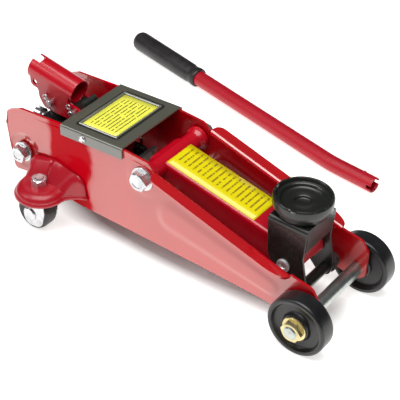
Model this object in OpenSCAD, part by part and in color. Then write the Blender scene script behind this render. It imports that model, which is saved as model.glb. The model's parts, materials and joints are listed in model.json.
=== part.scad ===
// Low-profile hydraulic trolley jack.
// X points forward, Y to the jack's left, Z up. The origin is on the floor, on the centre
// plane, halfway between the front axle and the rear swivel castors.

/* [Chassis] */
// Distance from the front axle to the castor swivels
wheelbase = 330; // [330:1:331]
// Outside width across the two side plates
chassis_w = 98; // [98:0.5:99]
// Thickness of the side plates
plate_t = 3; // [3:0.1:3.2]

/* [Wheels] */
// Diameter of a front wheel
wheel_d = 66; // [65:0.5:66]
// Width of a front wheel
wheel_w = 20; // [18:0.5:20]
// Diameter of a castor wheel
castor_d = 41; // [40:0.5:41]
// Width of a castor wheel
castor_w = 20; // [19:0.5:20]

/* [Lift] */
// Diameter of the saddle
saddle_d = 62; // [58:1:62]
// Height of the saddle's rim above the floor when lowered
saddle_top = 134.5; // [134:0.1:135]
// Outside width of the saddle yoke
yoke_w = 54; // [54:0.1:54.2]

/* [Pump and handle] */
// Outside diameter of the handle socket
socket_d = 24; // [23.8:0.1:24]
// Outside diameter of the handle tube
handle_d = 19; // [18:0.5:19]
// Outside diameter of the handle grip
grip_d = 25; // [24:0.5:26]

/* [Hidden] */

red = "crimson";
zinc = "gainsboro";
steel = "slategray";
black = "dimgray";
yellow = "gold";

// Chassis
half_w = chassis_w / 2;
inner_y = half_w - plate_t;
axle_x = wheelbase / 2;
axle_z = wheel_d / 2;
axle_r = 7.5;
castor_x = 2.5 - wheelbase / 2;
castor_y = 71;
flange_w = 13;
flange_slope = -15.6;

// Lift linkage: a parallelogram with corners at arm pivot, yoke pin, cross pin and rod stud
pivot = [-39, 108];
yoke_pin = [121, 62];
cross_offset = [19, -25];
cross_pin = yoke_pin + cross_offset;
rod_stud = pivot + cross_offset;
arm_half_w = 23.5;
lever_r = 42;
lever_angle = 39;
lever_pin_at = pivot - lever_r * [sin(lever_angle), cos(lever_angle)];
pivot_r = 7;
pin_r = 6;
stud_r = 5;
yoke_half_w = yoke_w / 2;
yoke_t = 3;
yoke_top = 114.5;
rod_y = 29.5;
rod_t = 5;

// Hydraulic unit
unit_z = 66;
reservoir_r = 20;
reservoir_x = [-150, -84];
ram_r = 8;
block_x = [-218, -150];
block_z = [46, 95];
trunnion = [-203, 69];
fulcrum = [-162, 117];
plunger = [-193, 118];
plunger_r = 6;
clevis_r = 4;
spring_z = 89;
spring_y = 12;
spring_r = 5.5;
spring_x = [-146, -80];
socket_tilt = 9.6;
socket_front = [-165, 135.5];
socket_len = 62;
socket_wall = 2;
cheek_y = 11;

// Handle, lying on the floor on the jack's left
handle_grip_end = [-314, 291.5];
handle_turn = -12.2;
handle_straight = 343;
handle_bend = 7.5;
handle_bend_r = 150;
bend_steps = 4;
handle_tip = 52;
grip_len = 121;
handle_sink = asin((grip_d - handle_d) / 2 / (handle_straight + handle_tip));

// Straight-line helpers for outlines with rounded corners: each corner is [x, z, radius]
function unit(v) = v / norm(v);
function turn(d) = d > 180 ? d - 360 : d < -180 ? d + 360 : d;
function corner(p, a, b, r, n) =
    let (u = unit(a - p), v = unit(b - p), half = acos(u * v) / 2)
    let (c = p + unit(u + v) * r / sin(half), s = p + u * r / tan(half) - c)
    let (e = p + v * r / tan(half) - c, a0 = atan2(s[1], s[0]))
    let (sweep = turn(atan2(e[1], e[0]) - a0))
    [for (i = [0:n]) c + r * [cos(a0 + sweep * i / n), sin(a0 + sweep * i / n)]];
function xy(p) = [p[0], p[1]];
function rounded(pts, n = 6) =
    let (m = len(pts))
    [for (i = [0:m - 1], q = pts[i][2] == 0 ? [xy(pts[i])] :
        corner(xy(pts[i]), xy(pts[(i + m - 1) % m]), xy(pts[(i + 1) % m]), pts[i][2], n)) q];

// An outline in X and Z, made solid from y0 to y1
module slab(pts, y0, y1) {
    translate([0, y1, 0]) rotate([90, 0, 0]) linear_extrude(y1 - y0) polygon(pts);
}
module y_rod(at, r, y0, y1) {
    translate([at[0], y1, at[1]]) rotate([90, 0, 0]) cylinder(r = r, h = y1 - y0, $fn = 64);
}
module x_rod(y, z, r, x0, x1) {
    translate([x0, y, z]) rotate([0, 90, 0]) cylinder(r = r, h = x1 - x0, $fn = 64);
}
module z_rod(x, y, r, z0, z1) {
    translate([x, y, z0]) cylinder(r = r, h = z1 - z0, $fn = 64);
}
// A hexagon nut or head on an axis along Y
module y_hex(at, r, y0, y1) {
    translate([at[0], y1, at[1]]) rotate([90, 0, 0]) cylinder(r = r, h = y1 - y0, $fn = 6);
}
module right_and_left() {
    children();
    mirror([0, 1, 0]) children();
}

// ---- Chassis ----
// The side plate's outline, clockwise from the rear lower corner
plate_outline = [
    [-217, 40.5, 5], [-223, 68, 0], [-227, 92, 8], [-226.5, 113, 9], [-206, 122.2, 10],
    [-150, 126, 0], [-66, 130.4, 0], [-34, 128.5, 6], [-27, 122, 5], [145, 73.8, 4],
    [168, 70, 9], [176, 58, 7], [176, 27, 7], [166, 19.6, 6], [118, 28, 20],
    [36, 30.6, 0], [-128, 32.7, 40], [-190, 44.5, 20]
];
module side_plate() {
    difference() {
        union() {
            slab(rounded(plate_outline), -half_w, -inner_y);
            top_flange();
        }
        y_rod([axle_x, axle_z], axle_r + 0.05, -half_w - 1, -inner_y + 1);
        y_rod(pivot, pivot_r + 0.05, -half_w - 1, -inner_y + 1);
        y_rod(trunnion, pin_r + 0.05, -half_w - 1, -inner_y + 1);
        y_rod(rod_stud, stud_r + 0.05, -half_w - 1, -inner_y + 1);
    }
}
// The outward flange that follows the sloping top edge
module top_flange() {
    flange_len = 172;
    translate([-24, 0, 121.1]) rotate([0, -flange_slope, 0])
        translate([0, -half_w - flange_w, -plate_t])
        linear_extrude(plate_t) polygon(rounded([
            [0, 0, 9], [flange_len, 0, 12], [flange_len, flange_w + 1, 0], [0, flange_w + 1, 0]
        ]));
}
module side_plate_right() { color(red) side_plate(); }
module side_plate_left() { color(red) mirror([0, 1, 0]) side_plate(); }

// Pressed bracket that carries one castor: a domed tongue with a turned-down skirt
bracket_nose_r = 25;
bracket_rim_z = 45;
bracket_seat_z = 54;
module bracket_dome(inset) {
    nose_x = castor_x + 2;
    hull() {
        z_rod32(nose_x, -castor_y, bracket_nose_r - inset, bracket_rim_z - 1, 50 - inset);
        z_rod32(nose_x, -castor_y, bracket_nose_r - 5 - inset, 50, bracket_seat_z - inset);
        translate([-190 + inset, -half_w, bracket_rim_z - 1])
            cube([75 - 2 * inset, 0.01, 20 - inset]);
        translate([-173 + inset, -half_w, bracket_rim_z - 1])
            cube([50 - 2 * inset, 0.01, 29 - inset]);
    }
}
module z_rod32(x, y, r, z0, z1) {
    translate([x, y, z0]) cylinder(r = r, h = z1 - z0, $fn = 32);
}
module castor_bracket() {
    difference() {
        bracket_dome(0);
        translate([0, 0.02, -0.01]) bracket_dome(3);
        translate([-300, -200, 0]) cube([300, 200, bracket_rim_z]);
        translate([-300, -half_w - 0.02, 0]) cube([300, 100, 100]);
        z_rod(castor_x, -castor_y, 10, bracket_seat_z - 0.2, 80);
        z_rod(castor_x, -castor_y, 5.05, 40, 80);
    }
    difference() {
        z_rod(castor_x, -castor_y, 14, bracket_seat_z - 4, bracket_seat_z - 0.3);
        z_rod(castor_x, -castor_y, 5.05, 40, 80);
    }
}
module castor_bracket_right() { color(red) castor_bracket(); }
module castor_bracket_left() { color(red) mirror([0, 1, 0]) castor_bracket(); }

// Stiffener between the plates that steadies the front of the hydraulic unit
module cross_member() {
    gap = 0.2;
    color(red) difference() {
        translate([-98, -inner_y + gap, 36]) cube([4, 2 * (inner_y - gap), 62]);
        x_rod(0, unit_z, reservoir_r + 0.3, -100, -90);
        for (y = [-spring_y, spring_y]) x_rod(y, spring_z + 3, spring_r + 3, -100, -90);
    }
}

// Fixed shoulder bolts: heads outside, shanks in the block's side bosses
module rear_bolts() {
    color(zinc) right_and_left() {
        y_rod(trunnion, pin_r, -half_w - 3, -26);
        y_hex(trunnion, 10, -half_w - 11, -half_w - 3);
        y_rod(trunnion, 7.8, -half_w - 11.8, -half_w - 11);
    }
}
module lift_pivot_bolt() {
    color(zinc) {
        y_rod(pivot, pivot_r, -half_w - 3, half_w + 14);
        y_hex(pivot, 11.2, -half_w - 11, -half_w - 3);
        y_rod(pivot, 8.8, -half_w - 11.8, -half_w - 11);
        difference() {
            y_hex(pivot, 11.2, half_w + 3, half_w + 12);
            y_rod(pivot, pivot_r - 0.01, half_w + 2, half_w + 13);
        }
    }
}
module ring_y(at, r_out, r_in, y0, y1) {
    difference() {
        y_rod(at, r_out, y0, y1);
        y_rod(at, r_in, y0 - 1, y1 + 1);
    }
}
module bolt_washers() {
    color(zinc) right_and_left() {
        ring_y(trunnion, 11.8, pin_r + 0.1, -half_w - 3, -half_w - 0.02);
        ring_y(pivot, 13.4, pivot_r + 0.1, -half_w - 3, -half_w - 0.02);
    }
}

module front_axle() {
    color(steel) difference() {
        y_rod([axle_x, axle_z], axle_r, -80, 80);
        for (s = [-1, 1]) translate([axle_x, s * 80, axle_z]) sphere(r = 2.5, $fn = 24);
    }
}
module axle_nuts() {
    at = [axle_x, axle_z];
    color("darkkhaki") right_and_left() {
        ring_y(at, 13.5, axle_r + 0.05, -72.6, -70.4);
        difference() {
            y_hex(at, 12.2, -78.6, -72.6);
            y_rod(at, axle_r + 0.02, -79, -72);
        }
    }
}

// Folded sheet cover across the two side plates
cover_x = [-148, -66];
cover_z = [126.5, 131];
cover_t = 2;
cover_tilt = atan((cover_z[1] - cover_z[0]) / (cover_x[1] - cover_x[0]));
cover_len = norm([cover_x[1] - cover_x[0], cover_z[1] - cover_z[0]]);
cover_side_w = half_w + 2.4;
module on_cover() {
    translate([cover_x[0], 0, cover_z[0]]) rotate([0, -cover_tilt, 0]) children();
}
module cover_plate() {
    color("dimgray") difference() {
        on_cover() {
            translate([0, -cover_side_w, 0]) cube([cover_len, 2 * cover_side_w, cover_t]);
            for (s = [0, 1]) mirror([0, s, 0]) translate([0, -cover_side_w, -11])
                cube([cover_len, cover_t, 12]);
            label_frame();
        }
        for (s = [0, 1]) mirror([0, s, 0]) screw_at() y_rod([0, 0], 2.05, -60, -40);
    }
}
label_w = [46, 72];
label_from = 17;
module label_frame() {
    border = 3;
    difference() {
        translate([label_from - border, -label_w[1] / 2 - border, cover_t])
            cube([label_w[0] + 2 * border, label_w[1] + 2 * border, 2]);
        translate([label_from, -label_w[1] / 2, cover_t - 1])
            cube([label_w[0], label_w[1], 4]);
    }
}
module cover_label() {
    color(yellow) on_cover() translate([label_from + 0.4, -label_w[1] / 2 + 0.4, cover_t + 0.02])
        cube([label_w[0] - 0.8, label_w[1] - 0.8, 0.4]);
}
module screw_at() { on_cover() translate([30, 0, -5.5]) children(); }
module cover_screws() {
    color(zinc) for (s = [0, 1]) mirror([0, s, 0]) screw_at() difference() {
        union() {
            y_rod([0, 0], 2, -cover_side_w - 0.02, -half_w - 0.05);
            y_rod([0, 0], 4.2, -cover_side_w - 2.4, -cover_side_w - 0.02);
        }
        translate([-5, -cover_side_w - 3, -0.6]) cube([10, 1.6, 1.2]);
    }
}

// ---- Hydraulic unit ----
module valve_block() {
    color(black) difference() {
        union() {
            slab(rounded([[block_x[0], block_z[0], 4], [block_x[0], block_z[1] - 12, 6],
                [block_x[0] + 10, block_z[1], 5], [block_x[1], block_z[1], 3],
                [block_x[1], block_z[0], 4]]), -23, 23);
            right_and_left() y_rod(trunnion, 12, -inner_y + 0.3, -20);
            fulcrum_lug();
            z_rod(plunger[0], 0, 11, block_z[1] - 4, 102);
        }
        z_rod(plunger[0], 0, plunger_r + 0.08, 62, 110);
        y_rod(fulcrum, clevis_r + 0.05, -20, 20);
        right_and_left() y_rod(trunnion, pin_r + 0.05, -60, -25.5);
        x_rod(0, unit_z, reservoir_r + 0.05, block_x[1] - 6, block_x[1] + 1);
        x_rod(0, 84, 5.1, block_x[0] - 1, block_x[0] + 14);
        for (y = [-spring_y, spring_y]) x_rod(y, spring_z, 1.6, block_x[1] - 9, block_x[1] + 1);
    }
}
// Post with a sloped horn in front of the fulcrum: the socket's mouth stops against it
module fulcrum_lug() {
    foot = block_z[1] - 4 - fulcrum[1];
    y = cheek_y - 0.4;
    translate([fulcrum[0], 0, fulcrum[1]]) {
        slab(rounded([[-12, foot, 0], [-7.8, -4, 8], [-7.8, 7.8, 7.6], [1, 7.8, 3],
            [8.6, 16.2, 2], [13, 14.5, 3], [13.4, foot, 0]]), -y, y);
    }
}
module reservoir_tube() {
    color(black) difference() {
        x_rod(0, unit_z, reservoir_r, block_x[1] - 5.9, reservoir_x[1]);
        x_rod(0, unit_z, reservoir_r - 2.5, block_x[1] - 7, reservoir_x[1] + 1);
        z_rod(-125, 0, 4.05, unit_z + 10, unit_z + 30);
    }
}
module pressure_cylinder() {
    color(steel) difference() {
        x_rod(0, unit_z, 13.5, block_x[1] - 5.9, reservoir_x[1] - 6.2);
        x_rod(0, unit_z, 11, block_x[1] + 2, reservoir_x[1]);
    }
}
module gland_nut() {
    color(steel) difference() {
        x_rod(0, unit_z, reservoir_r - 2.55, reservoir_x[1] - 6, reservoir_x[1] + 2);
        x_rod(0, unit_z, ram_r + 0.08, reservoir_x[1] - 7, reservoir_x[1] + 3);
    }
}
module filler_plug() {
    color(black) {
        z_rod(-125, 0, 4, unit_z + 14.5, unit_z + reservoir_r);
        z_rod(-125, 0, 5.6, unit_z + reservoir_r, unit_z + reservoir_r + 3);
    }
}
module release_valve() {
    color(zinc) difference() {
        union() {
            x_rod(0, 84, 5, block_x[0] - 0.5, block_x[0] + 13);
            x_rod(0, 84, 8, block_x[0] - 9, block_x[0] - 0.5);
        }
        translate([block_x[0] - 10, -1.5, 84 - 9]) cube([5, 3, 18]);
    }
}
module ram_rod() {
    color(steel) {
        x_rod(0, unit_z, ram_r, -143.5, lever_pin_at[0] - 11.2);
        x_rod(0, unit_z, 10.9, -147.7, -143.4);
    }
}
// Block with an upright slot for the lever pin and two ears for the springs
module ram_crosshead() {
    slot_half = pin_r + 1.3;
    x = lever_pin_at[0];
    color(steel) difference() {
        union() {
            translate([x - 13, -18.5, 54]) cube([26, 37, 31]);
            translate([x - 13, -18.5, 80]) cube([5, 37, 14.6]);
        }
        slab(rounded([[x - slot_half, 58, 4], [x + slot_half, 58, 4],
            [x + slot_half, 83, 4], [x - slot_half, 83, 4]]), -20, 20);
        x_rod(0, unit_z, ram_r + 0.02, x - 14, x - slot_half - 2);
        for (y = [-spring_y, spring_y]) x_rod(y, spring_z, 1.6, x - 14, x - 7);
    }
}
// Two extension springs, each a closed tube of the coils' outer shape with straight ends
module return_springs() {
    color(black) for (y = [-spring_y, spring_y]) {
        difference() {
            x_rod(y, spring_z, spring_r, spring_x[0], spring_x[1]);
            x_rod(y, spring_z, spring_r - 1.4, spring_x[0] - 1, spring_x[1] + 1);
        }
    }
}

// ---- Pump ----
module pump_plunger() {
    eye_r = 7.4;
    slot_r = clevis_r + 0.6;
    travel = 5.3;
    color(steel) difference() {
        union() {
            z_rod(plunger[0], 0, plunger_r, 66, plunger[1]);
            eye(eye_r, travel, 8);
        }
        eye(slot_r, travel, 10);
    }
}
// A level, round-ended bar from the plunger's axis forwards
module eye(r, travel, y) {
    translate([plunger[0], y, plunger[1]]) rotate([90, 0, 0]) {
        cylinder(r = r, h = 2 * y, $fn = 64);
        translate([travel, 0, 0]) cylinder(r = r, h = 2 * y, $fn = 64);
        translate([0, -r, 0]) cube([travel, 2 * r, 2 * y]);
    }
}
// Tube with two cheek plates below it
cheek_outline = [
    [-222.5, 140, 2], [-222, 129.5, 6], [-211.5, 128.5, 4], [-210, 118, 6], [-203, 108, 7],
    [-188, 107, 7], [-168, 106.5, 8], [-152, 110, 8], [-151, 122, 3], [-160, 124.5, 3],
    [-169.5, 126, 2], [-169, 137, 2], [-221, 146, 2]
];
module handle_socket() {
    r = socket_d / 2;
    color(red) difference() {
        union() {
            along_socket() cylinder(r = r, h = socket_len, $fn = 64);
            for (s = [-1, 1]) slab(rounded(cheek_outline), s > 0 ? cheek_y : -cheek_y - 3,
                s > 0 ? cheek_y + 3 : -cheek_y);
        }
        along_socket() translate([0, 0, -1]) cylinder(r = r - socket_wall, h = socket_len + 2, $fn = 64);
        along_socket() translate([r - 7, -5, socket_len - 11]) cube([10, 10, 14]);
        y_rod(fulcrum, clevis_r + 0.05, -20, 20);
        y_rod(plunger, clevis_r + 0.02, -20, 20);
        right_and_left() y_rod([-216, 134.8], 3, -20, -cheek_y + 0.05);
    }
}
module along_socket() {
    translate([socket_front[0], 0, socket_front[1]]) rotate([0, -90 + socket_tilt, 0]) children();
}
// Headed on the left; the split pin crosses the end that stands out on the right
clevis_y = [-19, 14.2, 17.5];
split_y = -16.7;
module clevis_pin(at, head_r, turn) {
    color(zinc) difference() {
        union() {
            y_rod(at, clevis_r, clevis_y[0], clevis_y[1]);
            y_rod(at, head_r, clevis_y[1], clevis_y[2]);
        }
        split_place(at, turn) cylinder(r = 1.2, h = 20, center = true, $fn = 32);
    }
}
module split_place(at, turn) {
    translate([at[0], split_y, at[1]]) rotate([0, turn, 0]) children();
}
module split_pin(at, turn) {
    color(zinc) split_place(at, turn) {
        translate([0, 0, -9]) cylinder(r = 1.1, h = 15.5, $fn = 32);
        translate([0, 0, 8.6]) rotate([90, 0, 0]) rotate_extrude($fn = 32)
            translate([2.4, 0]) circle(r = 0.9, $fn = 16);
    }
}
fulcrum_split_turn = -30;
plunger_split_turn = -45;
module fulcrum_pin() { clevis_pin(fulcrum, 6, fulcrum_split_turn); }
module plunger_pin() { clevis_pin(plunger, 6.5, plunger_split_turn); }
module fulcrum_split_pin() { split_pin(fulcrum, fulcrum_split_turn); }
module plunger_split_pin() { split_pin(plunger, plunger_split_turn); }

// ---- Lift arm and linkage ----
arm_outline = [
    [-50, 117, 9], [-32, 116, 12], [134, 82.4, 7], [137, 60, 8], [126, 44, 8],
    [108, 45, 10], [10, 72, 30], [-24, 84, 12], [-54, 68, 6], [-66, 64, 9],
    [-77, 72, 9], [-56, 104, 20]
];
module lift_arm() {
    web = 3;
    color(red) difference() {
        union() {
            for (s = [-1, 1]) slab(rounded(arm_outline), s > 0 ? arm_half_w - web : -arm_half_w,
                s > 0 ? arm_half_w : web - arm_half_w);
            intersection() {
                slab(rounded(arm_outline), -arm_half_w, arm_half_w);
                arm_skin(web);
            }
        }
        y_rod(pivot, 10.5, -arm_half_w + 2.99, arm_half_w - 2.99);
        y_rod(pivot, 10.52, -arm_half_w - 1, arm_half_w + 1);
        y_rod(yoke_pin, pin_r + 0.08, -30, 30);
        y_rod(lever_pin_at, pin_r + 0.02, -30, 30);
    }
}
// Band that keeps only the arm's top web
module arm_skin(web) {
    slab([[-60, 107.5], [-60, 119], [-30, 119], [140, 84.5], [140, 77], [-34, 112.2], [-46, 113],
        [-52, 107.5]], -arm_half_w, arm_half_w);
}
module arm_label() {
    along = atan((82.4 - 116) / (134 + 32));
    color(yellow) translate([-31.5, 0, 115.95]) rotate([0, -along, 0])
        translate([0, -21.5, 0]) cube([113, 43, 0.5]);
}
module arm_pivot_tube() {
    color(red) {
        ring_y(pivot, 10.5, pivot_r + 0.06, -inner_y + 0.4, inner_y - 0.4);
        right_and_left() ring_y(pivot, 13, 10.5, -inner_y + 0.4, -inner_y + 8);
    }
}
module lever_pin() {
    color(steel) y_rod(lever_pin_at, pin_r, -arm_half_w - 1, arm_half_w + 1);
}
module tie_rod() {
    long = norm(cross_pin - rod_stud);
    slope = atan2(cross_pin[1] - rod_stud[1], cross_pin[0] - rod_stud[0]);
    neck = 7.2;
    eye = 9.5;
    color("black") difference() {
        translate([rod_stud[0], -rod_y, rod_stud[1]]) rotate([0, -slope, 0]) rotate([90, 0, 0])
            linear_extrude(rod_t) polygon(rounded([
                [-neck, -neck, 7], [-neck, neck, 7], [long - 24, neck, 20], [long - 10, eye, 8],
                [long + eye, eye, 9], [long + eye, -eye, 9], [long - 10, -eye, 8],
                [long - 24, -neck, 20]
            ]));
        y_rod(rod_stud, stud_r + 0.08, -50, 0);
        y_rod(cross_pin, pin_r + 0.8, -50, 0);
    }
}
module tie_rod_right() { tie_rod(); }
module tie_rod_left() { mirror([0, 1, 0]) tie_rod(); }
module tie_rod_studs() {
    color(zinc) right_and_left() {
        y_rod(rod_stud, stud_r, -half_w, -rod_y + 0.5);
        y_rod(rod_stud, 7, -rod_y + 0.5, -rod_y + 3);
    }
}

// ---- Yoke and saddle ----
yoke_outline = [
    [98.5, yoke_top, 2], [144.5, yoke_top, 2], [142, 78, 0], [149.5, 42, 8], [145, 27, 8],
    [133, 26, 7], [112, 48, 10], [101, 70, 20]
];
module saddle_yoke() {
    y = yoke_half_w;
    apron_z = 86;
    color("black") difference() {
        union() {
            for (s = [-1, 1]) slab(rounded(yoke_outline), s > 0 ? y - yoke_t : -y,
                s > 0 ? y : yoke_t - y);
            slab(rounded([[98.5, yoke_top - yoke_t, 0], [98.5, yoke_top, 2],
                [144.5, yoke_top, 2], [144.3, yoke_top - yoke_t, 0]]), -y, y);
            slab([[141.8, yoke_top - 1], [144.3, yoke_top - 1], [143, apron_z],
                [140.8, apron_z]], 1 - y, y - 1);
        }
        y_rod(yoke_pin, pin_r + 0.03, -30, 30);
        y_rod(cross_pin, pin_r + 0.03, -30, 30);
        z_rod(yoke_pin[0], 0, 9.1, 100, 120);
    }
}
module yoke_pivot_pin() {
    color(zinc) {
        y_rod(yoke_pin, pin_r, -yoke_half_w, yoke_half_w);
        right_and_left() y_rod(yoke_pin, 7.4, -yoke_half_w - 2.2, -yoke_half_w - 0.02);
    }
}
module yoke_cross_pin() {
    color("black") {
        y_rod(cross_pin, pin_r, -40, 40);
        right_and_left() y_rod(cross_pin, 8.2, -41, -rod_y - rod_t - 0.5);
    }
}
module saddle() {
    r = saddle_d / 2;
    base = yoke_top + 0.3;
    color("black") {
        difference() {
            translate([yoke_pin[0], 0, 0]) rotate_extrude($fn = 96) polygon([
                [0, base], [24, base], [25, base + 4], [r - 1, base + 9], [r, base + 11],
                [r, saddle_top - 1], [r - 1, saddle_top], [r - 4, saddle_top], [r - 5, saddle_top - 5],
                [r - 9, saddle_top - 6], [r - 9.5, saddle_top - 8], [9, saddle_top - 8.5],
                [8.5, saddle_top - 11], [0, saddle_top - 11]
            ]);
            for (a = [35, 215]) translate([yoke_pin[0], 0, saddle_top - 2]) rotate([0, 0, a])
                translate([r - 7, -3.5, 0]) cube([9, 7, 3]);
        }
        z_rod(yoke_pin[0], 0, 9, 103, base + 1);
    }
}
module saddle_retaining_ring() {
    color(zinc) difference() {
        z_rod(yoke_pin[0], 0, 12, 106, 108.5);
        z_rod(yoke_pin[0], 0, 9.02, 105, 110);
    }
}

// ---- Wheels ----
// Profile of a front wheel: radius first, then distance from the inner face
module front_wheel() {
    r = wheel_d / 2;
    w = wheel_w;
    color("black") translate([axle_x, -50.2, axle_z]) rotate([90, 0, 0])
        rotate_extrude($fn = 96) polygon([
            [axle_r + 0.08, 0], [13, 0], [13, 4], [26, 5], [28, 0], [r - 2, 0], [r, 2],
            [r, w - 3], [r - 1, w - 1], [r - 3, w], [27, w], [25, w - 5.5], [16, w - 5.5],
            [14, w - 1], [axle_r + 0.08, w - 1]
        ]);
}
module front_wheel_right() { front_wheel(); }
module front_wheel_left() { mirror([0, 1, 0]) front_wheel(); }

castor_trail = -4;
castor_r = castor_d / 2;
fork_top = 46;
module castor_king_pins() {
    color(zinc) right_and_left() {
        z_rod(castor_x, -castor_y, 5, 42.9, 66);
        z_rod(castor_x, -castor_y, 7.5, 41.6, 42.9);
        difference() {
            translate([castor_x, -castor_y, 56.4]) cylinder(r = 9.2, h = 8, $fn = 6);
            z_rod(castor_x, -castor_y, 4.99, 50, 70);
        }
        z_rod_ring(castor_x, -castor_y, 10, 5.05, 53.9, 56.3);
    }
}
module z_rod_ring(x, y, r_out, r_in, z0, z1) {
    difference() {
        z_rod(x, y, r_out, z0, z1);
        z_rod(x, y, r_in, z0 - 1, z1 + 1);
    }
}
module castor_races() {
    color(steel) right_and_left() z_rod_ring(castor_x, -castor_y, 12, 5.06, 46.2, 49.8);
}
fork_leg_y = castor_w / 2 + 0.5;
fork_leg_t = 2;
module castor_fork() {
    wheel_x = castor_x + castor_trail;
    color(zinc) difference() {
        union() {
            for (s = [-1, 1]) slab(rounded([[castor_x - 8.5, fork_top, 6],
                [castor_x + 14, fork_top, 6], [wheel_x + 19.5, castor_r + 6, 10],
                [wheel_x + 15.5, 8, 10], [wheel_x - 4, 5.5, 8], [wheel_x - 9.5, 15, 7],
                [wheel_x - 3.5, 31, 8]]),
                -castor_y + (s > 0 ? fork_leg_y : -fork_leg_y - fork_leg_t),
                -castor_y + (s > 0 ? fork_leg_y + fork_leg_t : -fork_leg_y));
            translate([castor_x - 10, -castor_y - fork_leg_y - fork_leg_t, fork_top - 2.6])
                cube([22, 2 * (fork_leg_y + fork_leg_t), 2.6]);
        }
        z_rod(castor_x, -castor_y, 5.06, 40, 60);
        z_rod(castor_x, -castor_y, 7.8, 40, 43.2);
        y_rod([wheel_x, castor_r], 3.05, -castor_y - 20, -castor_y + 20);
    }
}
module castor_fork_right() { castor_fork(); }
module castor_fork_left() { mirror([0, 1, 0]) castor_fork(); }
module castor_wheel() {
    w = castor_w / 2;
    color("black") translate([castor_x + castor_trail, -castor_y, castor_r]) rotate([90, 0, 0])
        rotate_extrude($fn = 96) polygon([
            [3.1, -w], [8, -w], [9, 1 - w], [15, 1 - w], [17, -w], [castor_r - 3, -w],
            [castor_r - 0.6, 3 - w], [castor_r, 5 - w], [castor_r, w - 5],
            [castor_r - 0.6, w - 3], [castor_r - 3, w], [17, w], [15, w - 1], [9, w - 1],
            [8, w], [3.1, w]
        ]);
}
module castor_wheel_right() { castor_wheel(); }
module castor_wheel_left() { mirror([0, 1, 0]) castor_wheel(); }
module castor_axle() {
    at = [castor_x + castor_trail, castor_r];
    end = fork_leg_y + fork_leg_t;
    color(zinc) {
        y_rod(at, 3, -castor_y - end, -castor_y + end);
        y_rod(at, 8, -castor_y - end - 2, -castor_y - end - 0.02);
        y_rod(at, 6, -castor_y + end + 0.02, -castor_y + end + 1.6);
    }
}
module castor_axle_right() { castor_axle(); }
module castor_axle_left() { mirror([0, 1, 0]) castor_axle(); }

// ---- Handle ----
// From the grip's closed end, X along the handle
module along_handle() {
    translate([handle_grip_end[0], handle_grip_end[1], grip_d / 2])
        rotate([0, handle_sink, handle_turn]) children();
}
// Stations along the handle's centre line in its own plane: [x, y, heading]
tube_sides = 48;
tube_stations = concat([[6, 0, 0]],
    [for (i = [0:bend_steps]) let (a = handle_bend * i / bend_steps)
        [handle_straight + handle_bend_r * sin(a), handle_bend_r * (1 - cos(a)), a]],
    [[handle_straight + handle_bend_r * sin(handle_bend) + handle_tip * cos(handle_bend),
      handle_bend_r * (1 - cos(handle_bend)) + handle_tip * sin(handle_bend), handle_bend]]);
function tube_point(s, r, a) =
    [s[0] - r * cos(a) * sin(s[2]), s[1] + r * cos(a) * cos(s[2]), r * sin(a)];
module swept_tube(r) {
    n = tube_sides;
    m = len(tube_stations);
    polyhedron(
        points = [for (s = tube_stations, k = [0:n - 1]) tube_point(s, r, 360 * k / n)],
        faces = concat([[for (k = [0:n - 1]) k]], [[for (k = [n - 1:-1:0]) (m - 1) * n + k]],
            [for (i = [0:m - 2], k = [0:n - 1]) let (j = (k + 1) % n)
                each [[i * n + k, (i + 1) * n + k, i * n + j],
                      [i * n + j, (i + 1) * n + k, (i + 1) * n + j]]]));
}
module at_tip() {
    end = tube_stations[len(tube_stations) - 1];
    translate([end[0], end[1], 0]) rotate([0, 0, end[2]]) children();
}
stop_x = -22;
module handle_tube() {
    r = handle_d / 2;
    color(red) along_handle() difference() {
        swept_tube(r);
        at_tip() x_rod(0, 0, r - 1.6, -30, 1);
        at_tip() translate([-6, -12, -2.5]) cube([8, 24, 5]);
        at_tip() y_rod([stop_x, 0], 3.03, r - 3, r + 1);
    }
}
module handle_stop_pin() {
    color(red) along_handle() at_tip() y_rod([stop_x, 0], 3, handle_d / 2 - 1.5, handle_d / 2 + 3);
}
module handle_grip() {
    r = grip_d / 2;
    color("black") along_handle() rotate([0, 90, 0]) rotate_extrude($fn = 64) polygon([
        [0, 0], [r - 4, 0], [r - 1.2, 1.4], [r, 4.5], [r - 0.4, grip_len - 16],
        [r - 1.1, grip_len - 13], [r - 1.1, grip_len - 9], [r - 0.3, grip_len - 7],
        [r - 0.3, grip_len - 1], [r - 1.3, grip_len], [handle_d / 2 + 0.05, grip_len],
        [handle_d / 2 + 0.05, 5.9], [0, 5.9]
    ]);
}

side_plate_right();
side_plate_left();
castor_bracket_right();
castor_bracket_left();
cross_member();
rear_bolts();
lift_pivot_bolt();
bolt_washers();
front_axle();
axle_nuts();
cover_plate();
cover_label();
cover_screws();
valve_block();
reservoir_tube();
pressure_cylinder();
gland_nut();
filler_plug();
tie_rod_studs();
castor_king_pins();
castor_races();
fulcrum_pin();
fulcrum_split_pin();
release_valve();
ram_rod();
ram_crosshead();
return_springs();
pump_plunger();
handle_socket();
plunger_pin();
plunger_split_pin();
lift_arm();
arm_label();
arm_pivot_tube();
lever_pin();
tie_rod_right();
tie_rod_left();
saddle_yoke();
yoke_pivot_pin();
yoke_cross_pin();
saddle();
saddle_retaining_ring();
front_wheel_right();
front_wheel_left();
castor_fork_right();
castor_fork_left();
castor_wheel_right();
castor_wheel_left();
castor_axle_right();
castor_axle_left();
handle_tube();
handle_stop_pin();
handle_grip();
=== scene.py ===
"""Looks of the hydraulic trolley jack: detailed sheet metal, wheels, fasteners and paint
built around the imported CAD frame. Metres throughout, X forward, Y left, Z up."""
import json
from math import acos, atan2, cos, hypot, pi, radians, sin, sqrt, tan

import bmesh
import bpy
from mathutils import Matrix, Vector


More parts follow.
